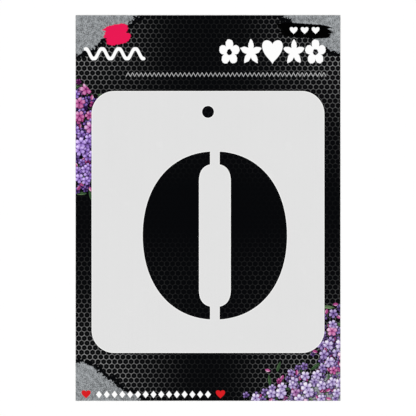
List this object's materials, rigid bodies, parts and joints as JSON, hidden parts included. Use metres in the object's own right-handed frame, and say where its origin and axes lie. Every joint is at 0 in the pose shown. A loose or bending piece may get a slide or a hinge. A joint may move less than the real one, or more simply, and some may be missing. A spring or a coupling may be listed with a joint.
{
  "type": "lettering stencil",
  "caption": "Thin plastic lettering stencil cut with a numeral zero and a hang hole, lying loose on its printed backing card and lifting off it for use.",
  "frame": {"origin": "centre of the card's underside, on the surface that the card lies on", "axes": "+X across the card to the right, +Y towards the card's top edge, +Z out of the printed face"},
  "size_m": [0.1156, 0.1684, 0.0008],
  "materials": {
    "printed_card": "matt black printed card with a grey honeycomb, white board behind",
    "sheet_plastic": "pale grey plastic film, fine satin face, smooth melted rims"
  },
  "bodies": {
    "card": {"backing_card": "printed_card"},
    "sheet": {"stencil_sheet": "sheet_plastic"}
  },
  "joints": [
    {"name": "sheet_lift", "type": "slide", "parent": "card", "child": "sheet", "axis": [0, 0, 1], "range_m": [0, 0.05]}
  ]
}
